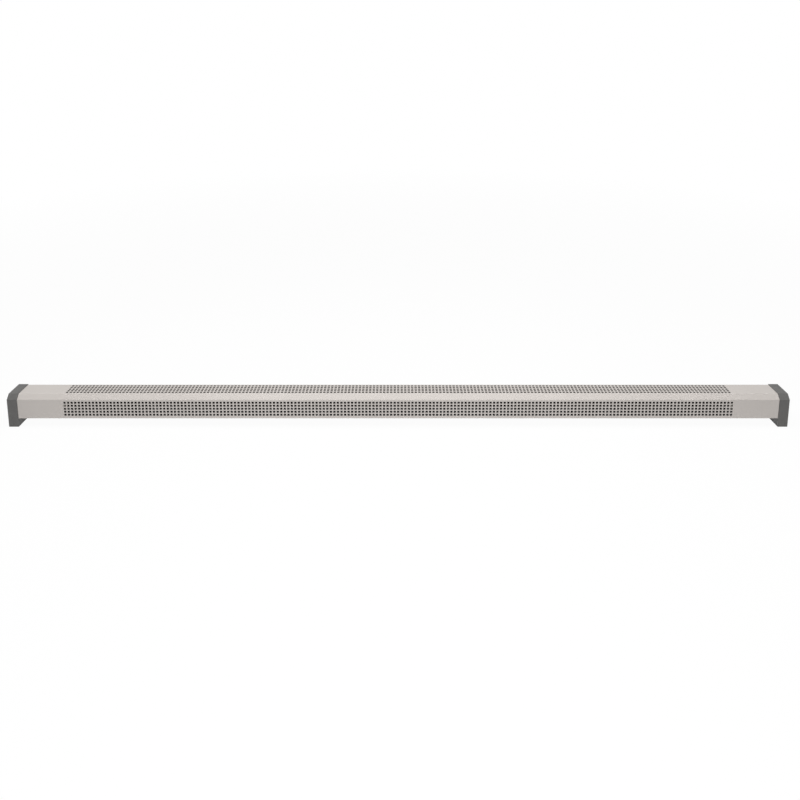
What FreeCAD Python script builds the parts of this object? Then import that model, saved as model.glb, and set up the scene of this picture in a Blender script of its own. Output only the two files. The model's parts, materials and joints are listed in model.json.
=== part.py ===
# Plinth heater: a long, low convector that stands on two end caps against a wall.
#
# A folded steel cover, perforated on its front and top, hooks over a steel back plate.
# Moulded end caps close both ends, push into the cover on spigots and carry the heater
# as feet. Inside, a finned hairpin element runs between two bulkheads. The bay beyond the
# right bulkhead holds the connections and the thermal cut-out.
#
# X runs along the heater, -Y is the front, +Y the wall and +Z is up. The origin is on the
# floor, midway along the heater and midway through its depth.

import FreeCAD, Part
import Sketcher
import math
import os

# Driving dimensions, in millimetres

sizes = {
    # casing
    "overall_length": 1764,
    "overall_depth": 52,
    "overall_height": 75.6,
    "floor_gap": 19.4,
    "cover_sheet": 1,
    "inner_bend": 0.6,
    "chamfer_leg": 9.7,
    "front_lip": 10,
    "rear_lip": 8,
    "plate_sheet": 1,
    "joggle_rise": 1.5,
    # perforation
    "hole_width": 5.2,
    "hole_height": 5.1,
    "column_pitch": 8,
    "row_pitch": 7.3,
    "plain_end": 103,
    "front_margin": 3,
    "front_lift": 0.6,
    "top_margin": 2,
    "field_rim": 0.6,
    # end caps
    "cap_width": 23,
    "cap_proud": 1,
    "cap_wall": 2.5,
    "cap_edge": 2,
    "spigot_length": 14,
    "spigot_wall": 1.7,
    # clearances
    "end_gap": 0.3,
    "fit_gap": 0.2,
    "slip_gap": 0.05,
    "tray_gap": 0.5,
    "screw_clearance": 0.5,
    # brackets
    "bay_length": 96,
    "bracket_sheet": 1,
    "bracket_tab": 12,
    "tab_height": 32,
    "support_neck": 9,
    "support_offset": 270,
    # element
    "element_rise": 26,
    "leg_spacing": 18,
    "tube_diameter": 8,
    "bend_overhang": 22,
    "fin_depth": 28,
    "fin_height": 34,
    "fin_sheet": 0.5,
    "fin_pitch": 10,
    "fin_corner": 3,
    "fin_end_margin": 15,
    "bush_wall": 2,
    "bush_flange": 1.5,
    "cold_end": 17,
    "pin_diameter": 4,
    "pin_length": 16,
    "insulator_length": 5,
    # heat shield
    "shield_sheet": 0.5,
    "shield_depth": 5,
    "shield_foot": 6,
    "shield_clearance": 3,
    "rivet_diameter": 3.2,
    # thermal cut-out
    "cutout_diameter": 15,
    "cutout_length": 10,
    "cutout_clearance": 1,
    "ear_sheet": 0.8,
    "ear_width": 7,
    "ear_screw_spacing": 23,
    "blade_sheet": 0.8,
    "blade_width": 6,
    "blade_length": 8,
    "blade_spacing": 12,
    "button_diameter": 5,
    "button_bore_depth": 5,
    "button_stand": 1.5,
    # connections
    "pole_pitch": 12,
    "block_start": 30,
    "block_depth": 12,
    "block_height": 16,
    "block_rise": 25.5,
    "sleeve_diameter": 5,
    "sleeve_bore": 3,
    "terminal_screw": 4,
    "terminal_screw_spacing": 8,
    "lead_diameter": 2.4,
    "lead_high": 8.5,
    "lead_low": 4.5,
    "stud_rise": 9.5,
    "stud_over": 1.6,
    "clamp_start": 46,
    "clamp_width": 8,
    "clamp_bar": 2.5,
    "cable_room": 8,
    "clamp_rise": 12.5,
    "clamp_screw_spacing": 15,
    "entry_rise": 13.5,
    "entry_clearance": 3.5,
    "cable_bore": 9,
    "grommet_wall": 2,
    "grommet_flange": 2.5,
    "fixing_offset": 20,
    "fixing_slot": 12,
    "fixing_width": 5.5,
    "fixing_rise": 24.5,
    # fasteners
    "screw_diameter": 4,
    "head_overhang": 1.4,
    "head_height": 2,
    "small_screw": 3,
    "nut_flats": 7,
    "nut_height": 3.2,
}

doc = FreeCAD.newDocument("plinth_heater")
sheet = doc.addObject("Spreadsheet::Sheet", "Dimensions")
for row, (alias, number) in enumerate(sizes.items(), start=1):
    sheet.set(f"A{row}", alias)
    sheet.set(f"B{row}", str(number))
    sheet.setAlias(f"B{row}", alias)
doc.recompute()


class Size:
    """A length that follows the sheet: the expression that gives it, and its value now."""

    def __init__(self, text, value):
        self.text = text
        self.value = value

    def __add__(self, other):
        return join(self, "+", other)

    def __radd__(self, other):
        return join(other, "+", self)

    def __sub__(self, other):
        return join(self, "-", other)

    def __rsub__(self, other):
        return join(other, "-", self)

    def __mul__(self, other):
        return join(self, "*", other)

    def __rmul__(self, other):
        return join(other, "*", self)

    def __truediv__(self, other):
        return join(self, "/", other)

    def __neg__(self):
        return join(-1, "*", self)

    def in_steps_of(self, step):
        steps = Size(f"round({(self / step).text})", round(self.value / step.value))
        return steps * step

    def whole(self):
        return Size(f"floor({self.text} + 0.000001)", math.floor(self.value + 0.000001))


def join(left, sign, right):
    left = left if isinstance(left, Size) else Size(repr(left), left)
    right = right if isinstance(right, Size) else Size(repr(right), right)
    value = {
        "+": left.value + right.value,
        "-": left.value - right.value,
        "*": left.value * right.value,
        "/": left.value / right.value if right.value else 0,
    }[sign]
    return Size(f"({left.text} {sign} {right.text})", value)


class Dimensions:
    """Gives each cell of the sheet as a Size by its alias."""

    def __getattr__(self, alias):
        return Size(f"Dimensions.{alias}", float(sheet.get(alias)))


dim = Dimensions()
NOTHING = Size("0", 0.0)
TURN_45 = math.tan(math.radians(22.5))  # tangent length of a 45 degree bend of radius 1
CORNER_45 = 2 - math.sqrt(2)  # how much a 45 degree chamfer's leg grows per unit of offset
LONG_AXIS = FreeCAD.Rotation(FreeCAD.Vector(0, 1, 0), 90)
DEPTH_AXIS = FreeCAD.Rotation(FreeCAD.Vector(1, 0, 0), -90)

# Reference planes and places worked out from the driving dimensions

half_length = dim.overall_length / 2
cap_inner = half_length - dim.cap_width
cover_half = cap_inner - dim.end_gap
cap_front = -dim.overall_depth / 2
cover_front = cap_front + dim.cap_proud
wall_plane = dim.overall_depth / 2
cover_bottom = dim.floor_gap
cover_top = dim.overall_height - dim.cap_proud
chamfer_start = cover_top - dim.chamfer_leg
chamfer_end = cover_front + dim.chamfer_leg
outer_bend = dim.inner_bend + dim.cover_sheet
web_inner = wall_plane - dim.plate_sheet
tray_top = cover_bottom + dim.plate_sheet
lip_top = cover_bottom + dim.cover_sheet
lip_bottom = cover_top - dim.rear_lip
hook_back = wall_plane - dim.cover_sheet - dim.fit_gap
hook_front = hook_back - dim.plate_sheet
spigot_end = cap_inner - dim.spigot_length

bulkhead_outer = cap_inner - dim.bay_length
bulkhead_inner = bulkhead_outer - dim.bracket_sheet
support_near = dim.support_offset.in_steps_of(dim.fin_pitch) - dim.bracket_sheet / 2
support_far = support_near + dim.bracket_sheet
bracket_front = cover_front + dim.cover_sheet + dim.inner_bend
lip_back = cover_front + dim.front_lip
tray_front = lip_back + dim.tray_gap

element_height = cover_bottom + dim.element_rise
leg_heights = (element_height - dim.leg_spacing / 2, element_height + dim.leg_spacing / 2)
tube_radius = dim.tube_diameter / 2
bush_radius = tube_radius + dim.bush_wall
tube_end = bulkhead_outer + dim.cold_end
pin_end = tube_end + dim.pin_length
pin_radius = dim.pin_diameter / 2
lead_radius = dim.lead_diameter / 2
lug_place = tube_end + dim.insulator_length + lead_radius + dim.fit_gap
nut_place = lug_place + lead_radius + dim.fit_gap

screw_radius = dim.screw_diameter / 2
small_radius = dim.small_screw / 2


# Ways of making shapes that follow the sheet


def bind(thing, prop, size):
    thing.setExpression(prop, size.text)


def box(name, x, y, z):
    made = doc.addObject("Part::Box", name)
    for side, base, (low, high) in zip(("Length", "Width", "Height"), "xyz", (x, y, z)):
        bind(made, side, high - low)
        bind(made, f"Placement.Base.{base}", low)
    return made


def cylinder(name, axis, centre, radius, span):
    """A cylinder along X, Y or Z. centre holds its other two coordinates, in that order."""
    made = doc.addObject("Part::Cylinder", name)
    bind(made, "Radius", radius)
    bind(made, "Height", span[1] - span[0])
    rotation = {"x": LONG_AXIS, "y": DEPTH_AXIS, "z": FreeCAD.Rotation()}[axis]
    made.Placement = FreeCAD.Placement(FreeCAD.Vector(), rotation)
    others = iter(centre)
    for base in "xyz":
        bind(made, f"Placement.Base.{base}", span[0] if base == axis else next(others))
    return made


def origin_plane(body, role):
    return next(f for f in body.Origin.OriginFeatures if f.Role == role)


def polygon_sketch(body, role, corners, offset):
    """A closed outline whose corners are each held by their two distances from the origin."""
    sketch = body.newObject("Sketcher::SketchObject", body.Name + "_outline")
    sketch.AttachmentSupport = (origin_plane(body, role), [""])
    sketch.MapMode = "FlatFace"
    bind(sketch, "AttachmentOffset.Base.z", offset)
    points = [FreeCAD.Vector(u.value, v.value, 0) for u, v in corners]
    for i, point in enumerate(points):
        sketch.addGeometry(Part.LineSegment(point, points[(i + 1) % len(points)]))
    for i in range(len(points)):
        following = (i + 1) % len(points)
        sketch.addConstraint(Sketcher.Constraint("Coincident", i, 2, following, 1))
    for i, (u, v) in enumerate(corners):
        for kind, size in (("DistanceX", u), ("DistanceY", v)):
            place = sketch.addConstraint(Sketcher.Constraint(kind, -1, 1, i, 1, size.value))
            bind(sketch, f"Constraints[{place}]", size)
    return sketch


def prism(name, axis, corners, span):
    """A body padded along X from an outline in Y and Z, or along Y from one in X and Z."""
    body = doc.addObject("PartDesign::Body", name)
    role, offset = {
        "x": ("YZ_Plane", span[0]),
        "y": ("XZ_Plane", -span[1]),
    }[axis]
    sketch = polygon_sketch(body, role, corners, offset)
    pad = body.newObject("PartDesign::Pad", name + "_pad")
    pad.Profile = sketch
    bind(pad, "Length", span[1] - span[0])
    sketch.Visibility = False
    doc.recompute()
    return body


def round_edges(body, wanted, radius):
    """Fillets the edges of the body's newest feature that wanted() picks."""
    base = body.Tip
    names = [f"Edge{i}" for i, edge in enumerate(base.Shape.Edges, start=1) if wanted(edge)]
    fillet = body.newObject("PartDesign::Fillet", body.Name + "_fillet")
    fillet.Base = (base, names)
    bind(fillet, "Radius", radius)
    body.Tip = fillet
    doc.recompute()


def group(name, things):
    made = doc.addObject("Part::Compound", name)
    made.Links = things
    return made


def fuse(name, things):
    made = doc.addObject("Part::MultiFuse", name)
    made.Shapes = things
    made.Refine = False
    return made


def cut(name, base, tools):
    made = doc.addObject("Part::Cut", name)
    made.Base = base
    made.Tool = tools[0] if len(tools) == 1 else group(name + "_tools", tools)
    made.Refine = False
    return made


def copies(name, master, moves):
    """One object holding a copy of the master's shape at each move."""
    doc.recompute()
    made = doc.addObject("Part::Feature", name)
    made.Shape = Part.makeCompound([master.Shape.translated(move) for move in moves])
    return made


def mirrored_span(side, low, high):
    return (low, high) if side > 0 else (-high, -low)


def at_side(side, size):
    return size if side > 0 else -size


sub_parts = {}


def keep(label, thing):
    """Names a finished sub-part. Its label names its file."""
    thing.Label = label
    sub_parts[label] = thing
    return thing


# Cover: folded sheet with a perforated field on its front and on its top


def fold_corners():
    """Outer corners of the folded section, then the inner ones, from the front lip round."""
    step = dim.cover_sheet * TURN_45
    return [
        (lip_back, cover_bottom),
        (cover_front, cover_bottom),
        (cover_front, chamfer_start),
        (chamfer_end, cover_top),
        (wall_plane, cover_top),
        (wall_plane, lip_bottom),
        (wall_plane - dim.cover_sheet, lip_bottom),
        (wall_plane - dim.cover_sheet, cover_top - dim.cover_sheet),
        (chamfer_end + step, cover_top - dim.cover_sheet),
        (cover_front + dim.cover_sheet, chamfer_start - step),
        (cover_front + dim.cover_sheet, lip_top),
        (lip_back, lip_top),
    ]


def along_heater(corner):
    """Picks the edge that runs the heater's length through one corner of a section."""
    y, z = (size.value for size in corner)

    def wanted(edge):
        box_of = edge.BoundBox
        thin = box_of.YLength < 1e-6 and box_of.ZLength < 1e-6
        return thin and abs(box_of.YMin - y) < 1e-6 and abs(box_of.ZMin - z) < 1e-6

    return wanted


def folded_sheet():
    corners = fold_corners()
    body = prism("folded_sheet", "x", corners, (-cover_half, cover_half))
    bends = ((corners[1:5], outer_bend), (corners[7:11], dim.inner_bend))
    for bent, radius in bends:
        tests = [along_heater(corner) for corner in bent]
        round_edges(body, lambda edge: any(test(edge) for test in tests), radius)
    return body


HOLES_PER_SECTION = 7  # columns of holes in each section of a perforated field
hole_columns = ((2 * (cover_half - dim.plain_end) - dim.hole_width) / dim.column_pitch).whole() + 1
field_half = ((hole_columns - 1) * dim.column_pitch + dim.hole_width) / 2 + dim.field_rim
field_reach = dim.hole_height / 2 + dim.field_rim


def row_places(flat_low, flat_high, margin, lift):
    """Where the rows that fit across a flat stand, about a line lifted off its middle."""
    room = flat_high - flat_low - 2 * margin - dim.hole_height
    rows = (room / dim.row_pitch).whole() + 1
    first = (flat_low + flat_high - (rows - 1) * dim.row_pitch) / 2 + lift
    return [first + i * dim.row_pitch for i in range(int(rows.value))]


def rectangle(low, high, point, turned):
    (u0, v0), (u1, v1) = low, high
    corners = [point(u0, v0), point(u1, v0), point(u1, v1), point(u0, v1)]
    if turned:
        corners.reverse()
    return Part.makePolygon(corners + corners[:1])


def perforated_field(name, rows, point, through):
    """A flat strip with all its holes, in sections: each is one holed face pushed through the sheet."""
    columns = int(hole_columns.value)
    pitch = dim.column_pitch.value
    half_width, half_height = dim.hole_width.value / 2, dim.hole_height.value / 2
    low, high = rows[0].value - field_reach.value, rows[-1].value + field_reach.value
    centres = [(column - (columns - 1) / 2) * pitch for column in range(columns)]
    sections = []
    start = -field_half.value
    for first in range(0, columns, HOLES_PER_SECTION):
        chosen = centres[first : first + HOLES_PER_SECTION]
        last = chosen[-1] == centres[-1]
        stop = field_half.value if last else chosen[-1] + pitch / 2
        holes = [
            rectangle(
                (u - half_width, row.value - half_height), (u + half_width, row.value + half_height),
                point, True,
            )
            for u in chosen
            for row in rows
        ]
        outline = rectangle((start, low), (stop, high), point, False)
        section = doc.addObject("Part::Feature", f"{name}_section")
        section.Shape = Part.Face([outline] + holes).extrude(through)
        sections.append(section)
        start = stop
    return sections


def make_cover():
    sheet_now = dim.cover_sheet
    turn = outer_bend * TURN_45
    front_rows = row_places(
        cover_bottom + outer_bend, chamfer_start - turn, dim.front_margin, dim.front_lift
    )
    top_rows = row_places(chamfer_end + turn, wall_plane - outer_bend, dim.top_margin, NOTHING)
    top_face = cover_top - sheet_now
    windows = [
        box(
            "front_window", (-field_half, field_half),
            (cover_front - sheet_now, cover_front + 2 * sheet_now),
            (front_rows[0] - field_reach, front_rows[-1] + field_reach),
        ),
        box(
            "top_window", (-field_half, field_half),
            (top_rows[0] - field_reach, top_rows[-1] + field_reach),
            (top_face - sheet_now, top_face + 2 * sheet_now),
        ),
    ]
    lip_holes = [
        cylinder(
            f"lip_hole_{i}", "z", (x, cover_screw_depth), small_radius + dim.screw_clearance,
            (cover_bottom - dim.cover_sheet, lip_top + dim.cover_sheet),
        )
        for i, x in enumerate(bracket_tab_places())
    ]
    opened = cut("opened_sheet", folded_sheet(), windows + lip_holes)
    front = perforated_field(
        "front_field", front_rows,
        lambda u, v: FreeCAD.Vector(u, cover_front.value, v), FreeCAD.Vector(0, sheet_now.value, 0),
    )
    top = perforated_field(
        "top_field", top_rows,
        lambda u, v: FreeCAD.Vector(u, v, top_face.value), FreeCAD.Vector(0, 0, sheet_now.value),
    )
    keep("perforated_cover", fuse("cover", [opened] + front + top))


# Brackets: bulkheads that close the end bays, and supports along the element


def bracket_sides():
    """Each bracket's name, side, and the sheet's span in X, tabs lying on the far side."""
    return [
        ("left_bulkhead", -1, bulkhead_inner, bulkhead_outer),
        ("left_support", -1, support_near, support_far),
        ("right_support", 1, support_near, support_far),
        ("right_bulkhead", 1, bulkhead_inner, bulkhead_outer),
    ]


def bracket_tab_places():
    """Where the screws through the brackets' tabs stand along X."""
    return [at_side(side, far + dim.bracket_tab / 2) for _, side, _, far in bracket_sides()]


cover_screw_depth = (bracket_front + lip_back) / 2
tab_screw_heights = (element_height - dim.leg_spacing / 2, element_height + dim.leg_spacing / 2)
hook_clear = hook_front - dim.fit_gap
joggle_top = lip_bottom - dim.fit_gap * 2
web_top = joggle_top - dim.joggle_rise
bracket_shoulder = web_top - dim.plate_sheet
bracket_top = cover_top - dim.cover_sheet - 2 * dim.fit_gap
support_top = element_height + dim.leg_spacing / 2 + bush_radius + dim.bush_wall


def bulkhead_outline():
    leg = dim.chamfer_leg - (bracket_front - cover_front) * CORNER_45
    return [
        (bracket_front, lip_top),
        (bracket_front, bracket_top - leg),
        (bracket_front + leg, bracket_top),
        (hook_clear, bracket_top),
        (hook_clear, bracket_shoulder),
        (web_inner, bracket_shoulder),
        (web_inner, tray_top),
        (tray_front, tray_top),
        (lip_back, lip_top),
    ]


def support_outline():
    neck = bracket_front + dim.support_neck
    foot_top = lip_top + 2 * dim.bracket_sheet
    return [
        (bracket_front, lip_top),
        (bracket_front, foot_top),
        (neck, foot_top + (neck - bracket_front)),
        (neck, support_top),
        (web_inner, support_top),
        (web_inner, tray_top),
        (tray_front, tray_top),
        (lip_back, lip_top),
    ]


def make_bracket(name, side, near, far):
    outline = bulkhead_outline() if "bulkhead" in name else support_outline()
    plate = prism(name + "_plate", "x", outline, mirrored_span(side, near, far))
    tab_span = mirrored_span(side, far, far + dim.bracket_tab)
    wall_tab = box(
        name + "_wall_tab", tab_span, (web_inner - dim.bracket_sheet, web_inner),
        (element_height - dim.tab_height / 2, element_height + dim.tab_height / 2),
    )
    lip_tab = box(
        name + "_lip_tab", tab_span, (bracket_front, lip_back),
        (lip_top, lip_top + dim.bracket_sheet),
    )
    blank = fuse(name + "_blank", [plate, wall_tab, lip_tab])
    middle = at_side(side, far + dim.bracket_tab / 2)
    reach = mirrored_span(side, near - dim.bracket_sheet, far + dim.bracket_sheet)
    holes = [
        cylinder(f"{name}_leg_hole_{i}", "x", (NOTHING, z), bush_radius + dim.slip_gap, reach)
        for i, z in enumerate(leg_heights)
    ]
    holes += [
        cylinder(
            f"{name}_tab_hole_{i}", "y", (middle, z), screw_radius + dim.slip_gap,
            (web_inner - 2 * dim.bracket_sheet, web_inner),
        )
        for i, z in enumerate(tab_screw_heights)
    ]
    holes.append(
        cylinder(
            name + "_lip_hole", "z", (middle, cover_screw_depth), small_radius + dim.slip_gap,
            (lip_top, lip_top + 2 * dim.bracket_sheet),
        )
    )
    if name == "right_bulkhead":
        holes += [
            cylinder(f"ear_hole_{i}", "x", (cutout_depth, z), small_radius + dim.slip_gap, reach)
            for i, z in enumerate(ear_screw_heights)
        ]
    keep(name, cut(name + "_bracket", blank, holes))


# Back plate: a sheet with a joggled upper edge that the cover's rear lip hooks over, and the
# base tray, a flat sheet that runs from its foot to the cover's front lip under the element


def plate_outline():
    bend = dim.plate_sheet * TURN_45
    return [
        (web_inner, cover_bottom),
        (wall_plane, cover_bottom),
        (wall_plane, web_top),
        (hook_back, joggle_top),
        (hook_back, bracket_top),
        (hook_front, bracket_top),
        (hook_front, joggle_top - bend),
        (web_inner, web_top - bend),
    ]


def through_web(name, x, z, radius):
    span = (web_inner - dim.plate_sheet, wall_plane + dim.plate_sheet)
    return cylinder(name, "y", (x, z), radius, span)


def fixing_slot_tools(side):
    """A slot is two round ends and the straight between them."""
    middle = at_side(side, bulkhead_outer + dim.fixing_offset)
    height = cover_bottom + dim.fixing_rise
    radius = dim.fixing_width / 2
    half_run = dim.fixing_slot / 2 - radius
    ends = [
        through_web(f"slot_end_{side}_{i}", middle + way * half_run, height, radius)
        for i, way in enumerate((-1, 1))
    ]
    run = box(
        f"slot_run_{side}", (middle - half_run, middle + half_run),
        (web_inner - dim.plate_sheet, wall_plane + dim.plate_sheet), (height - radius, height + radius),
    )
    return [fuse(f"slot_tool_{side}", ends + [run])]


def make_back_plate():
    blank = prism("plate_blank", "x", plate_outline(), (-cover_half, cover_half))
    tools = fixing_slot_tools(-1) + fixing_slot_tools(1)
    for i, x in enumerate(bracket_tab_places()):
        for j, z in enumerate(tab_screw_heights):
            tools.append(through_web(f"tab_screw_hole_{i}_{j}", x, z, screw_radius + dim.slip_gap))
    for i, (x, z) in enumerate(block_screw_places() + clamp_screw_places()):
        tools.append(through_web(f"bay_screw_hole_{i}", x, z, small_radius + dim.slip_gap))
    for side in (-1, 1):
        middle = at_side(side, entry_place)
        tools.append(through_web(f"entry_hole_{side}", middle, entry_height, entry_radius))
    for i, (x, z) in enumerate(rivet_places()):
        tools.append(through_web(f"rivet_hole_{i}", x, z, dim.rivet_diameter / 2 + dim.slip_gap))
    keep("back_plate", cut("plate", blank, tools))


def make_base_tray():
    span = (-cover_half, cover_half)
    keep("base_tray", box("tray", span, (tray_front, web_inner), (cover_bottom, tray_top)))


# End caps: hollow mouldings with a foot below and a spigot that enters the cover


def spigot_outline(inset):
    """The spigot's section, moved in from its outside by inset."""
    offset = dim.cover_sheet + dim.fit_gap + inset
    front = cover_front + offset
    back = hook_front - dim.fit_gap - inset
    low = cover_bottom + offset
    high = cover_top - offset
    leg = dim.chamfer_leg - offset * CORNER_45
    corner = dim.inner_bend
    return [
        (front, low + corner),
        (front, high - leg),
        (front + leg, high),
        (back, high),
        (back, low),
        (front + corner, low),
    ]


def cap_outline():
    leg = dim.chamfer_leg + dim.cap_proud * CORNER_45
    return [
        (cap_front, NOTHING),
        (cap_front, dim.overall_height - leg),
        (cap_front + leg, dim.overall_height),
        (wall_plane, dim.overall_height),
        (wall_plane, NOTHING),
    ]


def make_cap(label, side):
    block = prism(label + "_block", "x", cap_outline(), mirrored_span(side, cap_inner, half_length))
    end = at_side(side, half_length).value

    def seen_edge(edge):
        """The end face's edges, apart from the ones on the wall and on the floor."""
        limits = edge.BoundBox
        on_end = limits.XLength < 1e-6 and abs(limits.XMin - end) < 1e-6
        return on_end and limits.YMin < wall_plane.value - 1e-6 and limits.ZMax > 1e-6

    round_edges(block, seen_edge, dim.cap_edge)
    spigot = prism(
        label + "_spigot", "x", spigot_outline(NOTHING),
        mirrored_span(side, spigot_end, cap_inner + dim.cap_wall),
    )
    hollow = prism(
        label + "_hollow", "x", spigot_outline(dim.spigot_wall),
        mirrored_span(side, spigot_end - dim.cap_wall, half_length - dim.cap_wall),
    )
    foot_hollow = box(
        label + "_foot_hollow",
        mirrored_span(side, cap_inner + dim.cap_wall, half_length - dim.cap_wall),
        (cap_front + dim.cap_wall, wall_plane - dim.cap_wall),
        (-dim.cap_wall, cover_bottom - dim.cap_wall),
    )
    solid = fuse(label + "_solid", [block, spigot])
    keep(label, cut(label + "_shell", solid, [hollow, foot_hollow]))


# Heating element: a hairpin tube with pressed-on fins, ceramic bushes and cold pins


def make_element_tube():
    bend_centre = -(bulkhead_outer + dim.bend_overhang)
    legs = [
        cylinder(f"leg_{i}", "x", (NOTHING, z), tube_radius, (bend_centre, tube_end))
        for i, z in enumerate(leg_heights)
    ]
    bend = doc.addObject("Part::Torus", "hairpin_bend")
    bind(bend, "Radius1", dim.leg_spacing / 2)
    bind(bend, "Radius2", tube_radius)
    bend.Angle3 = 180
    bend.Placement = FreeCAD.Placement(FreeCAD.Vector(), hairpin_turn())
    bind(bend, "Placement.Base.x", bend_centre)
    bind(bend, "Placement.Base.z", element_height)
    keep("element_tube", fuse("hairpin", legs + [bend]))


def hairpin_turn():
    """Stands the half ring upright with its round side towards -X."""
    upright = FreeCAD.Rotation(FreeCAD.Vector(1, 0, 0), 90)
    outward = FreeCAD.Rotation(FreeCAD.Vector(0, 0, 1), 90)
    return upright.multiply(outward)


def make_fins():
    half = dim.fin_depth / 2
    low, high = element_height - dim.fin_height / 2, element_height + dim.fin_height / 2
    outline = [(-half, low), (-half, high), (half, high), (half, low)]
    plate = prism("fin_plate", "x", outline, (-dim.fin_sheet / 2, dim.fin_sheet / 2))
    round_edges(plate, lambda edge: edge.BoundBox.XLength > 1e-6, dim.fin_corner)
    holes = [
        cylinder(
            f"fin_hole_{i}", "x", (NOTHING, z), tube_radius + dim.slip_gap,
            (-dim.fin_sheet, dim.fin_sheet),
        )
        for i, z in enumerate(leg_heights)
    ]
    master = cut("fin_master", plate, holes)
    pitch = dim.fin_pitch.value
    each_side = int((bulkhead_inner.value - dim.fin_end_margin.value) / pitch + 0.5)
    places = [way * (i + 0.5) * pitch for way in (-1, 1) for i in range(each_side)]
    keep("element_fins", copies("fins", master, [FreeCAD.Vector(x, 0, 0) for x in places]))


def bush(name, side, near, far, height):
    """A flanged ceramic bush: its barrel fills the bracket's hole, its flange is on the hot side."""
    start = near - dim.bush_flange
    stop = far + dim.bush_flange
    barrel = cylinder(
        name + "_barrel", "x", (NOTHING, height), bush_radius, mirrored_span(side, near, stop)
    )
    flange = cylinder(
        name + "_flange", "x", (NOTHING, height), bush_radius + dim.bush_flange,
        mirrored_span(side, start, near),
    )
    bore = cylinder(
        name + "_bore", "x", (NOTHING, height), tube_radius + dim.slip_gap,
        mirrored_span(side, start - dim.bush_flange, stop + dim.bush_flange),
    )
    return cut(name, fuse(name + "_body", [barrel, flange]), [bore])


def make_bushes():
    for name, side, near, far in bracket_sides():
        pair = [bush(f"{name}_bush_{i}", side, near, far, z) for i, z in enumerate(leg_heights)]
        keep(name + "_bushes", group(name + "_bush_pair", pair))


def hexagon(name, axis, centre, span):
    """A nut blank along X or Y, its flats facing up and down or fore and aft."""
    radius = dim.nut_flats / math.sqrt(3)
    u, v = centre
    turns = [math.radians(angle) for angle in range(0, 360, 60)]
    corners = [
        (u + radius * round(math.cos(turn), 9), v + radius * round(math.sin(turn), 9)) for turn in turns
    ]
    return prism(name, axis, corners, span)


def nut(name, axis, centre, radius, start):
    stop = start + dim.nut_height
    blank = hexagon(name + "_blank", axis, centre, (start, stop))
    bore = cylinder(
        name + "_bore", axis, centre, radius + dim.slip_gap,
        (start - dim.nut_height, stop + dim.nut_height),
    )
    return cut(name, blank, [bore])


def make_element_ends():
    pins = [
        cylinder(f"pin_{i}", "x", (NOTHING, z), pin_radius, (tube_end, pin_end))
        for i, z in enumerate(leg_heights)
    ]
    keep("element_pins", group("pins", pins))
    collars = []
    for i, z in enumerate(leg_heights):
        span = (tube_end, tube_end + dim.insulator_length)
        collar = cylinder(f"collar_{i}", "x", (NOTHING, z), tube_radius, span)
        bore = cylinder(f"collar_bore_{i}", "x", (NOTHING, z), pin_radius + dim.slip_gap, span)
        collars.append(cut(f"pin_collar_{i}", collar, [bore]))
    keep("pin_insulators", group("collars", collars))
    nuts = [
        nut(f"pin_nut_{i}", "x", (NOTHING, z), pin_radius, nut_place)
        for i, z in enumerate(leg_heights)
    ]
    keep("pin_nuts", group("pin_nut_pair", nuts))


# Heat shields: bright hat-section strips between the element and the wall

shield_front = web_inner - dim.shield_depth
shield_low = tray_top + dim.shield_clearance + dim.shield_foot
shield_high = web_top - dim.plate_sheet - dim.shield_foot


def shield_bays():
    support_clear = support_far + dim.bracket_tab + dim.shield_clearance
    outer = bulkhead_inner - dim.shield_clearance
    inner = support_near - dim.shield_clearance
    return [
        ("left_heat_shield", (-outer, -support_clear)),
        ("middle_heat_shield", (-inner, inner)),
        ("right_heat_shield", (support_clear, outer)),
    ]


def shield_outline():
    gauge = dim.shield_sheet
    foot_low, foot_high = shield_low - dim.shield_foot, shield_high + dim.shield_foot
    return [
        (web_inner, foot_low),
        (web_inner - gauge, foot_low),
        (web_inner - gauge, shield_low),
        (shield_front, shield_low),
        (shield_front, shield_high),
        (web_inner - gauge, shield_high),
        (web_inner - gauge, foot_high),
        (web_inner, foot_high),
        (web_inner, shield_high - gauge),
        (shield_front + gauge, shield_high - gauge),
        (shield_front + gauge, shield_low + gauge),
        (web_inner, shield_low + gauge),
    ]


def rivet_places():
    """Two rivets through each foot of each shield, an eighth of its length from its ends."""
    heights = (shield_low - dim.shield_foot / 2, shield_high + dim.shield_foot / 2)
    places = []
    for _, (low, high) in shield_bays():
        inset = (high - low) / 8
        places += [(x, z) for x in (low + inset, high - inset) for z in heights]
    return places


def make_heat_shields():
    gauge = dim.shield_sheet
    for name, span in shield_bays():
        blank = prism(name + "_blank", "x", shield_outline(), span)
        holes = [
            cylinder(
                f"{name}_hole_{i}", "y", (x, z), dim.rivet_diameter / 2 + dim.slip_gap,
                (web_inner - 2 * gauge, web_inner),
            )
            for i, (x, z) in enumerate(rivet_places())
            if span[0].value < x.value < span[1].value
        ]
        keep(name, cut(name + "_strip", blank, holes))
    rivets = [
        fastener(f"rivet_{i}", "y", (x, z), dim.rivet_diameter / 2, wall_plane, web_inner - gauge)
        for i, (x, z) in enumerate(rivet_places())
    ]
    keep("shield_rivets", group("rivets", rivets))


# Fasteners: a shank with a plain round head


def fastener(name, axis, centre, radius, tip, seat):
    """The shank runs from its tip to the face that the head seats on."""
    way = 1 if seat.value > tip.value else -1
    crown = seat + way * dim.head_height
    spans = [(tip, seat), (seat, crown)] if way > 0 else [(seat, tip), (crown, seat)]
    shank = cylinder(name + "_shank", axis, centre, radius, spans[0])
    head = cylinder(name + "_head", axis, centre, radius + dim.head_overhang, spans[1])
    return fuse(name, [shank, head])


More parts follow.
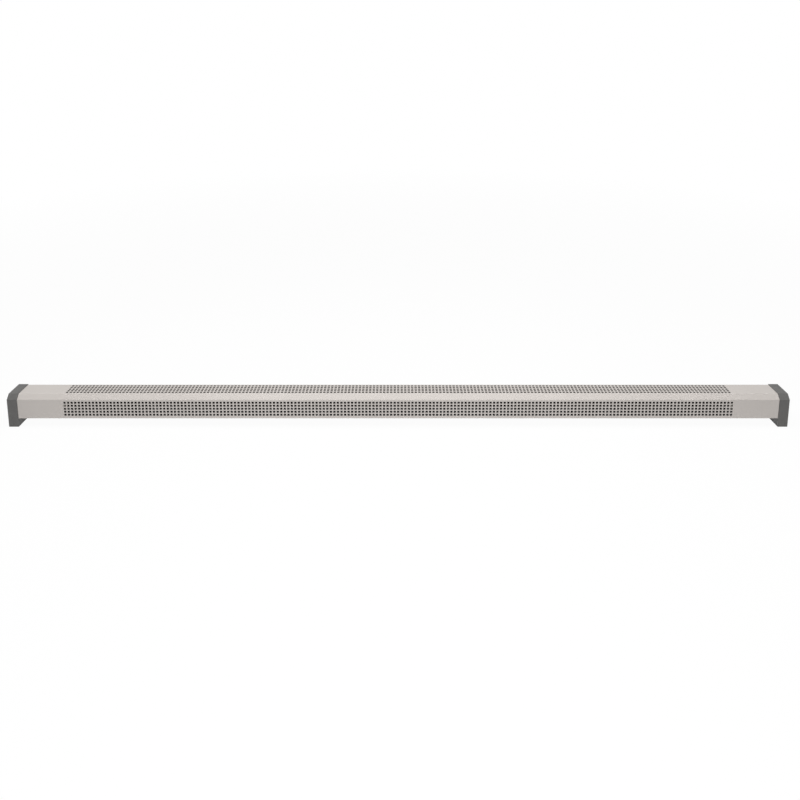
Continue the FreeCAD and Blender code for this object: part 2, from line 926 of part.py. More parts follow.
def make_bracket_screws():
    tab_face = web_inner - dim.bracket_sheet
    wall_screws = [
        fastener(f"wall_screw_{i}_{j}", "y", (x, z), screw_radius, wall_plane, tab_face)
        for i, x in enumerate(bracket_tab_places())
        for j, z in enumerate(tab_screw_heights)
    ]
    keep("bracket_screws", group("wall_screws", wall_screws))
    cover_screws = [
        fastener(
            f"cover_screw_{i}", "z", (x, cover_screw_depth), small_radius,
            lip_top + 3 * dim.bracket_sheet, cover_bottom,
        )
        for i, x in enumerate(bracket_tab_places())
    ]
    keep("cover_screws", group("cover_screw_set", cover_screws))


# Thermal cut-out: a capsule on the right bulkhead with two blades and a reset button

cutout_radius = dim.cutout_diameter / 2
cutout_depth = cover_front + dim.cover_sheet + dim.cutout_clearance + cutout_radius
cutout_height = leg_heights[0] + dim.blade_spacing / 2
cutout_end = bulkhead_outer + dim.cutout_length
blade_heights = (cutout_height - dim.blade_spacing / 2, cutout_height + dim.blade_spacing / 2)
blade_end = cutout_end + dim.blade_length
ear_screw_heights = (cutout_height - dim.ear_screw_spacing / 2, cutout_height + dim.ear_screw_spacing / 2)
button_start = cutout_end - dim.button_bore_depth


def make_cutout():
    ear_top = bulkhead_outer + dim.ear_sheet
    ear_reach = dim.ear_screw_spacing / 2 + dim.ear_width / 2
    ears = box(
        "cutout_ears", (bulkhead_outer, ear_top),
        (cutout_depth - dim.ear_width / 2, cutout_depth + dim.ear_width / 2),
        (cutout_height - ear_reach, cutout_height + ear_reach),
    )
    capsule = cylinder(
        "cutout_capsule", "x", (cutout_depth, cutout_height), cutout_radius, (bulkhead_outer, cutout_end)
    )
    bore = cylinder(
        "button_bore", "x", (cutout_depth, cutout_height), dim.button_diameter / 2 + dim.slip_gap,
        (button_start, cutout_end + dim.button_stand),
    )
    ear_holes = [
        cylinder(
            f"ear_screw_hole_{i}", "x", (cutout_depth, z), small_radius + dim.slip_gap,
            (bulkhead_outer - dim.ear_sheet, ear_top + dim.ear_sheet),
        )
        for i, z in enumerate(ear_screw_heights)
    ]
    keep("cutout_body", cut("cutout", fuse("cutout_blank", [ears, capsule]), [bore] + ear_holes))
    blades = [
        box(
            f"blade_{i}", (cutout_end, blade_end),
            (cutout_depth - dim.blade_width / 2, cutout_depth + dim.blade_width / 2),
            (z - dim.blade_sheet / 2, z + dim.blade_sheet / 2),
        )
        for i, z in enumerate(blade_heights)
    ]
    keep("cutout_blades", group("blades", blades))
    screws = [
        fastener(
            f"ear_screw_{i}", "x", (cutout_depth, z), small_radius,
            bulkhead_inner - dim.bracket_sheet, ear_top,
        )
        for i, z in enumerate(ear_screw_heights)
    ]
    keep("cutout_screws", group("ear_screws", screws))
    button = cylinder(
        "button", "x", (cutout_depth, cutout_height), dim.button_diameter / 2,
        (button_start + dim.fit_gap, cutout_end + dim.button_stand),
    )
    keep("reset_button", button)


# Connections in the right-hand bay: terminal block, earth stud, cord clamp and cable entry

block_left = bulkhead_outer + dim.block_start
block_right = block_left + 3 * dim.pole_pitch
block_front = web_inner - dim.block_depth
block_low = cover_bottom + dim.block_rise
block_high = block_low + dim.block_height
pole_places = [block_left + (i + 0.5) * dim.pole_pitch for i in range(3)]
pole_depth = web_inner - dim.block_depth / 2
stud_height = cover_bottom + dim.stud_rise
clamp_left = bulkhead_outer + dim.clamp_start
clamp_height = cover_bottom + dim.clamp_rise
clamp_back = web_inner - dim.cable_room
clamp_front = clamp_back - dim.clamp_bar
entry_height = cover_bottom + dim.entry_rise
entry_radius = dim.cable_bore / 2 + dim.grommet_wall
entry_place = spigot_end - dim.entry_clearance - entry_radius - dim.grommet_flange


def block_screw_places():
    middle = (block_low + block_high) / 2
    return [(block_left + i * dim.pole_pitch, middle) for i in (1, 2)]


def clamp_screw_places():
    middle = clamp_left + dim.clamp_width / 2
    half = dim.clamp_screw_spacing / 2
    return [(middle, clamp_height - half), (middle, clamp_height + half)]


def make_terminal_block():
    body = box("block_body", (block_left, block_right), (block_front, web_inner), (block_low, block_high))
    sleeve_radius = dim.sleeve_diameter / 2
    middle = (block_low + block_high) / 2
    tools, sleeves, screws = [], [], []
    for i, x in enumerate(pole_places):
        span = (block_low, block_high)
        tools.append(cylinder(f"sleeve_hole_{i}", "z", (x, pole_depth), sleeve_radius + dim.slip_gap, span))
        barrel = cylinder(f"sleeve_barrel_{i}", "z", (x, pole_depth), sleeve_radius, span)
        bore = cylinder(f"sleeve_bore_{i}", "z", (x, pole_depth), dim.sleeve_bore / 2, span)
        sleeves.append(cut(f"sleeve_{i}", barrel, [bore]))
        for j, way in enumerate((-1, 1)):
            z = middle + way * dim.terminal_screw_spacing / 2
            reach = pole_depth - sleeve_radius - dim.slip_gap
            well = dim.terminal_screw / 2 + dim.slip_gap
            tools.append(cylinder(f"well_{i}_{j}", "y", (x, z), well, (block_front, pole_depth)))
            screws.append(
                cylinder(
                    f"terminal_screw_{i}_{j}", "y", (x, z), dim.terminal_screw / 2,
                    (block_front + dim.fit_gap, reach),
                )
            )
    for i, (x, z) in enumerate(block_screw_places()):
        span = (block_front, web_inner)
        tools.append(cylinder(f"block_screw_hole_{i}", "y", (x, z), small_radius + dim.slip_gap, span))
    keep("terminal_block", cut("block", body, tools))
    keep("terminal_sleeves", group("sleeves", sleeves))
    keep("terminal_screws", group("terminal_screw_set", screws))
    fixings = [
        fastener(f"block_screw_{i}", "y", (x, z), small_radius, wall_plane, block_front)
        for i, (x, z) in enumerate(block_screw_places())
    ]
    keep("block_screws", group("block_screw_pair", fixings))


def make_earth_stud():
    centre = (pole_places[0], stud_height)
    lug_gap = lead_radius + dim.fit_gap
    tip = pole_depth - lug_gap - dim.nut_height - dim.stud_over
    keep("earth_stud", cylinder("stud", "y", centre, pin_radius, (tip, web_inner)))
    nuts = [
        nut("earth_nut_back", "y", centre, pin_radius, pole_depth + lug_gap),
        nut("earth_nut_front", "y", centre, pin_radius, pole_depth - lug_gap - dim.nut_height),
    ]
    keep("earth_nuts", group("earth_nut_pair", nuts))


def make_cord_clamp():
    places = clamp_screw_places()
    post_radius = small_radius + dim.head_overhang
    reach = dim.clamp_screw_spacing / 2 + post_radius
    bar = box(
        "clamp_bar", (clamp_left, clamp_left + dim.clamp_width), (clamp_front, clamp_back),
        (clamp_height - reach, clamp_height + reach),
    )
    posts = [
        cylinder(f"clamp_post_{i}", "y", place, post_radius, (clamp_back, web_inner))
        for i, place in enumerate(places)
    ]
    holes = [
        cylinder(f"clamp_hole_{i}", "y", place, small_radius + dim.slip_gap, (clamp_front, web_inner))
        for i, place in enumerate(places)
    ]
    keep("cord_clamp", cut("clamp", fuse("clamp_blank", [bar] + posts), holes))
    screws = [
        fastener(f"clamp_screw_{i}", "y", place, small_radius, wall_plane, clamp_front)
        for i, place in enumerate(places)
    ]
    keep("clamp_screws", group("clamp_screw_pair", screws))


def entry_plug(name, side):
    """A flanged plug that fills an entry hole, its flange on the inside of the web."""
    centre = (at_side(side, entry_place), entry_height)
    barrel = cylinder(name + "_barrel", "y", centre, entry_radius, (web_inner, wall_plane))
    flange = cylinder(
        name + "_flange", "y", centre, entry_radius + dim.grommet_flange,
        (web_inner - dim.grommet_wall, web_inner),
    )
    return fuse(name, [barrel, flange]), centre


def make_cable_entries():
    grommet, centre = entry_plug("grommet", 1)
    bore = cylinder(
        "cable_bore_tool", "y", centre, dim.cable_bore / 2,
        (web_inner - 2 * dim.grommet_wall, wall_plane + dim.grommet_wall),
    )
    keep("cable_grommet", cut("cable_grommet_ring", grommet, [bore]))
    keep("blanking_plug", entry_plug("plug", -1)[0])


# Leads: insulated wires between the block, the cut-out and the element's pins

BEND_SHARE = 0.45  # share of a straight run that the bend at one end of it may take


def lead(label, points):
    """A tube along straight runs joined by tangent arcs, each as large as its runs allow."""
    route = [FreeCAD.Vector(*(size.value for size in point)) for point in points]
    edges, start = [], route[0]
    for before, corner, after in zip(route, route[1:], route[2:]):
        come, go = (before - corner), (after - corner)
        setback = BEND_SHARE * min(come.Length, go.Length)
        begin = corner + FreeCAD.Vector(come).normalize() * setback
        end = corner + FreeCAD.Vector(go).normalize() * setback
        turn = come.getAngle(go)
        radius = setback * math.tan(turn / 2)
        inward = (FreeCAD.Vector(come).normalize() + FreeCAD.Vector(go).normalize()).normalize()
        middle = corner + inward * (radius / math.sin(turn / 2) - radius)
        edges.append(Part.LineSegment(start, begin).toShape())
        edges.append(Part.Arc(begin, middle, end).toShape())
        start = end
    edges.append(Part.LineSegment(start, route[-1]).toShape())
    path = Part.Wire(edges)
    section = Part.Wire([Part.makeCircle(lead_radius.value, route[0], route[1] - route[0])])
    made = doc.addObject("Part::Feature", label)
    made.Shape = Part.Solid(path.makePipeShell([section], True, False).Shells[0])
    keep(label, made)


def make_leads():
    first, second, third = pole_places
    inside = block_high - dim.terminal_screw
    above = block_high + dim.lead_low
    topmost = block_high + dim.lead_high
    lower, upper = leg_heights
    low_blade, high_blade = blade_heights
    touch = pin_radius + dim.slip_gap
    lead("earth_lead", [
        (first, pole_depth, block_low + dim.terminal_screw),
        (first, pole_depth, stud_height + touch),
    ])
    lead("live_supply_lead", [
        (second, pole_depth, inside),
        (second, pole_depth, above),
        (second, cutout_depth, above),
        (second, cutout_depth, high_blade),
        (blade_end, cutout_depth, high_blade),
    ])
    lead("live_element_lead", [
        (blade_end, cutout_depth, low_blade),
        (lug_place, cutout_depth, low_blade),
        (lug_place, -touch, lower),
    ])
    lead("neutral_lead", [
        (third, pole_depth, inside),
        (third, pole_depth, topmost),
        (third, NOTHING, topmost),
        (lug_place, NOTHING, topmost),
        (lug_place, NOTHING, upper + touch),
    ])


def check_document():
    for thing in doc.Objects:
        if {"Invalid", "Error"} & set(thing.State):
            raise RuntimeError(f"{thing.Name} failed: {thing.State}")
    for label, thing in sub_parts.items():
        shape = thing.Shape
        if shape.isNull() or not shape.isValid() or not shape.Solids:
            raise RuntimeError(f"{label} has no valid solid")


def main():
    make_cover()
    make_back_plate()
    make_base_tray()
    for bracket in bracket_sides():
        make_bracket(*bracket)
    make_cap("left_end_cap", -1)
    make_cap("right_end_cap", 1)
    make_element_tube()
    make_fins()
    make_bushes()
    make_element_ends()
    make_heat_shields()
    make_bracket_screws()
    make_cutout()
    make_terminal_block()
    make_earth_stud()
    make_cord_clamp()
    make_cable_entries()
    make_leads()
    doc.recompute()
    check_document()
    os.makedirs("parts", exist_ok=True)
    for label, thing in sub_parts.items():
        thing.Shape.exportStep(f"parts/{label}.step")
        print(label, len(thing.Shape.Solids), "solids", round(thing.Shape.Volume), "mm3")


main()
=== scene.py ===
import json
import math

import bmesh
import bpy
from mathutils import Matrix, Vector


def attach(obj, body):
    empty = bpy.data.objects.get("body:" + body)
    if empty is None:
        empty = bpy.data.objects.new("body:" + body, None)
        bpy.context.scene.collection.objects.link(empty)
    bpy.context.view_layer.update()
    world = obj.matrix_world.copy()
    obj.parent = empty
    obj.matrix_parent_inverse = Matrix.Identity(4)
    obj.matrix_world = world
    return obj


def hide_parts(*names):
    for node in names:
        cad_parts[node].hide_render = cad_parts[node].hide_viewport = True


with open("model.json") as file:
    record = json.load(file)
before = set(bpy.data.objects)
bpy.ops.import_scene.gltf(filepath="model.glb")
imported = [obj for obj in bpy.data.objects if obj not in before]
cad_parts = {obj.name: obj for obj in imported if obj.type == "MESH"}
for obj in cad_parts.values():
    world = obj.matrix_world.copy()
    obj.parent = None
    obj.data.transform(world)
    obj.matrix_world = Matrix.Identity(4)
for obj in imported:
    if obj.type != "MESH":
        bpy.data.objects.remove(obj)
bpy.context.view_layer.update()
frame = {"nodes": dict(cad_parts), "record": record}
nodes = frame["nodes"]
mergeGap = 1e-7  # m, points nearer than this become one
sharpAngle = 32  # degrees, edges that turn more stay crisp


def linear(hexColour):
    # sRGB hex to the linear values that the shaders want
    parts = [int(hexColour[i : i + 2], 16) / 255 for i in (1, 3, 5)]
    return [c / 12.92 if c <= 0.04045 else ((c + 0.055) / 1.055) ** 2.4 for c in parts] + [1.0]


def perMetre(sizeMm):
    # texture scale that gives features of this size on Object coordinates
    return 1000.0 / sizeMm


def addNode(tree, kind, links=None, **settings):
    node = tree.nodes.new(kind)
    for name, value in settings.items():
        setattr(node, name, value)
    for socket, source in (links or {}).items():
        if isinstance(source, bpy.types.NodeSocket):
            tree.links.new(source, node.inputs[socket])
        else:
            node.inputs[socket].default_value = source
    return node


# Camera: the photograph's view from above and in front, with its framing as lens shift
cameraSetup = {
    "back": 1.4647,  # from the middle of the heater, m
    "height": 0.8808,
    "pitch": 9.0,  # below level, degrees
    "focalPx": 688.25,  # in an image 800 wide
    "imagePx": 800,
    "sensor": 36.0,
    "shift": (0.0022, -0.3225),
    "clipEnd": 50.0,
}


def makeCamera():
    c = cameraSetup
    data = bpy.data.cameras.new("camera")
    data.sensor_width = c["sensor"]
    data.lens = c["sensor"] * c["focalPx"] / c["imagePx"]
    data.shift_x, data.shift_y = c["shift"]
    data.clip_end = c["clipEnd"]
    camera = bpy.data.objects.new("camera", data)
    camera.location = (0, -c["back"], c["height"])
    camera.rotation_euler = (math.radians(90 - c["pitch"]), 0, 0)
    bpy.context.scene.collection.objects.link(camera)
    bpy.context.scene.camera = camera


# Studio: white floor and world, a broad lamp over the heater and another low in front of it
studio = {
    "floorHalf": 12.0,
    "floorColour": "#F4F4F4",
    "floorWhite": 0.95,  # share of plain white that the camera sees, so the shadow stays faint
    "floorFade": (1.0, 3.0),  # from the middle, m: the floor turns plain white between them
    "worldLight": 0.2,
    "lamps": [
        # name, place, aims at, size, power
        ("overhead lamp", (0.0, -0.1, 1.7), (0, 0, 0), (2.6, 0.9), 31),
        ("front lamp", (0.0, -1.3, 0.6), (0, 0, 0.05), (1.5, 0.5), 6.0),
    ],
}


def whiteRoomShare(tree):
    # 1 for camera, glossy and transmission rays, so metal shows the white room too
    path = addNode(tree, "ShaderNodeLightPath").outputs
    links = {0: path["Is Camera Ray"], 1: path["Is Glossy Ray"]}
    either = addNode(tree, "ShaderNodeMath", links, operation="MAXIMUM")
    links = {0: either.outputs[0], 1: path["Is Transmission Ray"]}
    return addNode(tree, "ShaderNodeMath", links, operation="MAXIMUM").outputs[0]


def makeFloor():
    mesh = bmesh.new()
    bmesh.ops.create_grid(mesh, x_segments=1, y_segments=1, size=studio["floorHalf"])
    data = bpy.data.meshes.new("floor")
    mesh.to_mesh(data)
    mesh.free()
    floor = bpy.data.objects.new("floor", data)
    bpy.context.scene.collection.objects.link(floor)
    material = bpy.data.materials.new("white studio floor")
    material.use_nodes = True
    tree = material.node_tree
    tree.nodes.clear()
    coords = addNode(tree, "ShaderNodeTexCoord").outputs["Object"]
    away = addNode(tree, "ShaderNodeVectorMath", {0: coords}, operation="LENGTH").outputs["Value"]
    near, far = studio["floorFade"]
    links = {
        "Value": away, "From Min": near, "From Max": far, "To Min": studio["floorWhite"], "To Max": 1.0,
    }
    fade = addNode(tree, "ShaderNodeMapRange", links)
    links = {0: whiteRoomShare(tree), 1: fade.outputs["Result"]}
    share = addNode(tree, "ShaderNodeMath", links, operation="MULTIPLY")
    matt = addNode(tree, "ShaderNodeBsdfDiffuse", {"Color": linear(studio["floorColour"])})
    white = addNode(tree, "ShaderNodeEmission", {"Color": linear("#FFFFFF"), "Strength": 1.0})
    links = {0: share.outputs[0], 1: matt.outputs[0], 2: white.outputs[0]}
    mixed = addNode(tree, "ShaderNodeMixShader", links)
    addNode(tree, "ShaderNodeOutputMaterial", {"Surface": mixed.outputs[0]})
    data.materials.append(material)


def makeWorld():
    world = bpy.data.worlds.new("white room")
    world.use_nodes = True
    tree = world.node_tree
    tree.nodes.clear()
    links = {"Value": whiteRoomShare(tree), "To Min": studio["worldLight"], "To Max": 1.0}
    strength = addNode(tree, "ShaderNodeMapRange", links)
    links = {"Color": linear("#FFFFFF"), "Strength": strength.outputs["Result"]}
    room = addNode(tree, "ShaderNodeBackground", links)
    addNode(tree, "ShaderNodeOutputWorld", {"Surface": room.outputs["Background"]})
    bpy.context.scene.world = world


def makeLamps():
    for name, place, aim, size, power in studio["lamps"]:
        data = bpy.data.lights.new(name, "AREA")
        data.shape = "RECTANGLE"
        data.size, data.size_y = size
        data.energy = power
        lamp = bpy.data.objects.new(name, data)
        lamp.location = place
        lamp.rotation_mode = "QUATERNION"
        lamp.rotation_quaternion = (Vector(aim) - Vector(place)).to_track_quat("-Z", "Y")
        bpy.context.scene.collection.objects.link(lamp)


bpy.context.scene.view_settings.view_transform = "Standard"
makeCamera()
makeFloor()
makeWorld()
makeLamps()
print("studio: camera, floor, world and", len(studio["lamps"]), "lamps")


reliefSpan = (0.25, 0.75)  # where a relief pattern's values mostly lie


def makeFinish(name, look):
    # a tone pattern mixes the two colours, and a relief pattern gives the gloss and the bump
    material = bpy.data.materials.new(name)
    material.use_nodes = True
    tree = material.node_tree
    tree.nodes.clear()
    coords = addNode(tree, "ShaderNodeTexCoord").outputs["Object"]
    links = {"Vector": coords, "Scale": look.get("stretch", (1, 1, 1))}
    coords = addNode(tree, "ShaderNodeMapping", links).outputs["Vector"]
    patterns = []
    for kind, output, sizeMm in (look["tone"], look["relief"]):
        pattern = addNode(tree, "ShaderNodeTex" + kind, {"Vector": coords, "Scale": perMetre(sizeMm)})
        patterns.append(pattern.outputs[output])
    tone, relief = patterns
    # sockets 6 and 7 of a colour Mix are its two colours, and output 2 is its result
    links = {0: tone, 6: linear(look["deep"]), 7: linear(look["pale"])}
    colour = addNode(tree, "ShaderNodeMix", links, data_type="RGBA")
    gloss = addNode(tree, "ShaderNodeMapRange", {
        "Value": relief, "From Min": reliefSpan[0], "From Max": reliefSpan[1],
        "To Min": look["roughness"][0], "To Max": look["roughness"][1],
    })
    links = {"Height": relief, "Distance": look["depthMm"] / 1000, "Strength": look["strength"]}
    bump = addNode(tree, "ShaderNodeBump", links)
    links = {
        "Base Color": colour.outputs[2],
        "Roughness": gloss.outputs["Result"],
        "Normal": bump.outputs["Normal"],
        "Metallic": look.get("metallic", 0.0),
    }
    if "ior" in look:
        links["IOR"] = look["ior"]
    shader = addNode(tree, "ShaderNodeBsdfPrincipled", links)
    addNode(tree, "ShaderNodeOutputMaterial", {"Surface": shader.outputs["BSDF"]})
    return material


finishes = {}

# Stoved enamel on folded steel: a satin coat with slow drifts of tone and a faint orange
# peel, drawn deeper than life to show
finishes["cover_enamel"] = makeFinish("stoved enamel", {
    "pale": "#CCC6C1", "deep": "#C3BDB8", "roughness": (0.38, 0.5), "depthMm": 0.24, "strength": 0.7,
    "tone": ("Noise", "Fac", 110), "relief": ("Noise", "Fac", 2),
})

# Moulded ABS: matt, slightly mottled, with the pebbled grain of a spark-eroded mould, drawn
# coarser than life to show
finishes["cap_moulding"] = makeFinish("moulded grey ABS", {
    "pale": "#62615F", "deep": "#575655", "roughness": (0.5, 0.64), "depthMm": 0.2, "strength": 0.7,
    "tone": ("Noise", "Fac", 9), "relief": ("Voronoi", "Distance", 2), "ior": 1.53,
})

# Hot-dip galvanised sheet: pale metal whose frozen zinc crystals each have their own tone
finishes["galvanised_steel"] = makeFinish("galvanised steel", {
    "pale": "#C6C9CB", "deep": "#9DA1A4", "roughness": (0.36, 0.5), "depthMm": 0.03, "strength": 0.2,
    "tone": ("Voronoi", "Color", 12), "relief": ("Noise", "Fac", 18), "metallic": 0.85,
})

# Rolled aluminium strip, darkened as painted shade for the unlit inside of the case, with fine lines along
# it from the mill's rolls
finishes["shield_aluminium"] = makeFinish("shade-darkened rolled aluminium", {
    "pale": "#7C7B7A", "deep": "#605F5E", "roughness": (0.42, 0.58), "depthMm": 0.01, "strength": 0.2,
    "tone": ("Noise", "Fac", 2.5), "relief": ("Noise", "Fac", 1.2), "metallic": 1.0,
    "stretch": (0.02, 1, 1),
})

# Drawn steel sheath of the element: browned by heat, with duller scale in patches
finishes["element_sheath"] = makeFinish("heat-tinted steel", {
    "pale": "#4B4541", "deep": "#2B2826", "roughness": (0.42, 0.62), "depthMm": 0.02, "strength": 0.2,
    "tone": ("Noise", "Fac", 12), "relief": ("Noise", "Fac", 3), "metallic": 0.9,
})

# Black oxidised fin steel: dark and dull, a little paler where the oxide is thin
finishes["fin_steel"] = makeFinish("oxidised steel", {
    "pale": "#3B3A39", "deep": "#1F1E1E", "roughness": (0.5, 0.68), "depthMm": 0.02, "strength": 0.2,
    "tone": ("Noise", "Fac", 8), "relief": ("Noise", "Fac", 2.5), "metallic": 0.7,
})

# Pressed steatite: off-white ceramic, unglazed, with a fine sandy grain
finishes["bush_ceramic"] = makeFinish("steatite", {
    "pale": "#EDE7DA", "deep": "#DDD5C4", "roughness": (0.62, 0.76), "depthMm": 0.04, "strength": 0.3,
    "tone": ("Noise", "Fac", 3), "relief": ("Noise", "Fac", 0.8), "ior": 1.6,
})

# Zinc plate on steel fasteners: pale bluish metal with a soft sheen
finishes["zinc_fastener"] = makeFinish("zinc-plated steel", {
    "pale": "#C9CBCC", "deep": "#AEB1B4", "roughness": (0.26, 0.4), "depthMm": 0.01, "strength": 0.2,
    "tone": ("Noise", "Fac", 2.5), "relief": ("Noise", "Fac", 0.9), "metallic": 1.0,
})

# Turned and stamped brass: warm metal, dulled in patches by handling
finishes["brass"] = makeFinish("machined brass", {
    "pale": "#D2B36A", "deep": "#B08F4C", "roughness": (0.22, 0.38), "depthMm": 0.01, "strength": 0.2,
    "tone": ("Noise", "Fac", 3), "relief": ("Noise", "Fac", 1), "metallic": 1.0,
})

# Natural nylon: milky moulding with a soft gloss
finishes["block_moulding"] = makeFinish("natural nylon", {
    "pale": "#EAE5D8", "deep": "#DED8C8", "roughness": (0.44, 0.54), "depthMm": 0.02, "strength": 0.25,
    "tone": ("Noise", "Fac", 7), "relief": ("Noise", "Fac", 1.2),
})

# Black phenolic: hard moulding with a dull shine and a slightly floury surface
finishes["cutout_moulding"] = makeFinish("black phenolic", {
    "pale": "#2C2B2A", "deep": "#1D1C1C", "roughness": (0.38, 0.5), "depthMm": 0.02, "strength": 0.25,
    "tone": ("Noise", "Fac", 2), "relief": ("Noise", "Fac", 1), "ior": 1.6,
})

# Red nylon button: glossy from a polished mould
finishes["button_moulding"] = makeFinish("red nylon", {
    "pale": "#B3261E", "deep": "#A01F18", "roughness": (0.28, 0.36), "depthMm": 0.01, "strength": 0.2,
    "tone": ("Noise", "Fac", 3), "relief": ("Noise", "Fac", 1.5),
})

# Black rubber grommets: matt, faintly bloomed
finishes["entry_rubber"] = makeFinish("black rubber", {
    "pale": "#333332", "deep": "#222222", "roughness": (0.66, 0.8), "depthMm": 0.03, "strength": 0.3,
    "tone": ("Noise", "Fac", 5), "relief": ("Noise", "Fac", 0.8), "ior": 1.52,
})

# Silicone sleeving on the leads: soft satin, faintly rippled by the extruder
siliconeLook = {
    "roughness": (0.48, 0.6), "depthMm": 0.02, "strength": 0.25, "ior": 1.43,
    "tone": ("Noise", "Fac", 6), "relief": ("Noise", "Fac", 1.4),
}
finishes["lead_brown"] = makeFinish("brown silicone", {"pale": "#6E4932", "deep": "#583926", **siliconeLook})
finishes["lead_blue"] = makeFinish("blue silicone", {"pale": "#3869AC", "deep": "#2A558F", **siliconeLook})
# the earth lead is green with yellow stripes along it
finishes["lead_green"] = makeFinish("green and yellow silicone", {
    **siliconeLook, "pale": "#D8C23A", "deep": "#3E8A3A", "tone": ("Wave", "Fac", 8),
})
print("materials:", len(finishes))


def dressNodes():
    # every CAD node takes the finish of its own slot
    for part in frame["record"]["subparts"]:
        data = nodes[part["node"]].data
        data.materials.clear()
        data.materials.append(finishes[part["material_slot"]])


dressNodes()
print("finishes set on the CAD nodes")


def boxOf(points):
    low = Vector([min(p[i] for p in points) for i in range(3)])
    high = Vector([max(p[i] for p in points) for i in range(3)])
    return low, high


def solidsOf(nodeName):
    # the points of each separate solid in a node, from a merged copy of its mesh
    mesh = bmesh.new()
    mesh.from_mesh(nodes[nodeName].data)
    bmesh.ops.remove_doubles(mesh, verts=mesh.verts, dist=mergeGap)
    waiting = set(mesh.verts)
    solids = []
    for vert in mesh.verts:
        if vert not in waiting:
            continue
        waiting.remove(vert)
        found = [vert]
        for reached in found:
            for edge in reached.link_edges:
                other = edge.other_vert(reached)
                if other in waiting:
                    waiting.remove(other)
                    found.append(other)
        solids.append([reached.co.copy() for reached in found])
    mesh.free()
    return sorted(solids, key=lambda points: [round(c, 6) for c in boxOf(points)[0].zyx])


def facing(way):
    # turns a part made along Z to lie along a way, with its Y as near upright as it goes
    return Vector(way).to_track_quat("Z", "Y").to_matrix().to_4x4()


def addPiece(name, mesh, body, slot, replaced=None):
    # a finished piece: outward normals, smooth shading between its sharp edges, finish and body
    bmesh.ops.remove_doubles(mesh, verts=mesh.verts, dist=mergeGap)
    bmesh.ops.recalc_face_normals(mesh, faces=mesh.faces)
    data = bpy.data.meshes.new(name)
    mesh.to_mesh(data)
    mesh.free()
    data.materials.append(finishes[slot])
    data.shade_smooth()
    data.set_sharp_from_angle(angle=math.radians(sharpAngle))
    piece = bpy.data.objects.new(name, data)
    bpy.context.scene.collection.objects.link(piece)
    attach(piece, body)
    if replaced:
        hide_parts(replaced)


def joinInto(mesh, part, place):
    # adds a part, made about its own origin, to a mesh at its place
    bmesh.ops.transform(part, matrix=place, verts=part.verts)
    data = bpy.data.meshes.new("part")
    part.to_mesh(data)
    part.free()
    mesh.from_mesh(data)
    bpy.data.meshes.remove(data)


def drawRim(mesh, rim, scale, lift):
    # draws a ring of edges out into a band, its new ring scaled about Z and lifted along it
    made = bmesh.ops.extrude_edge_only(mesh, edges=rim)["geom"]
    verts = [g for g in made if isinstance(g, bmesh.types.BMVert)]
    bmesh.ops.scale(mesh, vec=(scale, scale, 1), verts=verts)
    bmesh.ops.translate(mesh, vec=(0, 0, lift), verts=verts)
    return [g for g in made if isinstance(g, bmesh.types.BMEdge)]


# Screws: pan heads with a driver's recess, each in the place of the CAD's plain one
screwShape = {
    "segments": 32,
    "crown": 0.74,  # flat top, as a share of the head's radius
    "shoulder": (0.94, 0.22),  # share of the radius, and how far down the head
    "armWidth": 0.13,  # half width of the recess arms, as a share of the head's radius
    "crossReach": 0.5,
    "slotReach": 0.66,
    "recessDepth": 0.55,  # of the head's height
    "recessTaper": 0.7,
    "cheeseHead": 0.5,  # of the length, on a terminal's screw
    "tipTaper": 0.75,
    "tipLength": 0.3,  # of the shank's radius
    "cutGap": 1e-8,  # m, a point nearer to a cut than this lies on it
    "nearly": 0.99,  # share of a size that counts as all of it
}
screwSets = [
    # piece, CAD node, axis that it lies along, arms of the recess
    ("coverScrews", "cover_screws", 2, 2),
    ("bracketScrews", "bracket_screws", 1, 2),
    ("cutoutScrews", "cutout_screws", 0, 2),
    ("blockScrews", "block_screws", 1, 2),
    ("clampScrews", "clamp_screws", 1, 2),
    ("terminalScrews", "terminal_screws", 1, 1),
]


def sinkRecess(mesh, radius, depth, arms):
    # slices the flat top into a grid, then sinks the squares that make a slot or a cross
    s = screwShape
    width = s["armWidth"] * radius
    reach = (s["crossReach"] if arms == 2 else s["slotReach"]) * radius
    for axis in (0, 1):
        for offset in (-reach, -width, width, reach):
            normal = Vector((0, 0, 0))
            normal[axis] = 1
            geometry = mesh.verts[:] + mesh.edges[:] + mesh.faces[:]
            bmesh.ops.bisect_plane(
                mesh, geom=geometry, dist=s["cutGap"], plane_co=normal * offset, plane_no=normal
            )
    sunk = []
    for face in mesh.faces:
        x, y, _ = (abs(c) for c in face.calc_center_median())
        if (x < width and y < reach) or (arms == 2 and y < width and x < reach):
            sunk.append(face)
    made = bmesh.ops.extrude_face_region(mesh, geom=sunk)["geom"]
    bmesh.ops.delete(mesh, geom=[f for f in sunk if f.is_valid], context="FACES_ONLY")
    verts = [g for g in made if isinstance(g, bmesh.types.BMVert)]
    bmesh.ops.scale(mesh, vec=(s["recessTaper"], s["recessTaper"], 1), verts=verts)
    bmesh.ops.translate(mesh, vec=(0, 0, -depth), verts=verts)


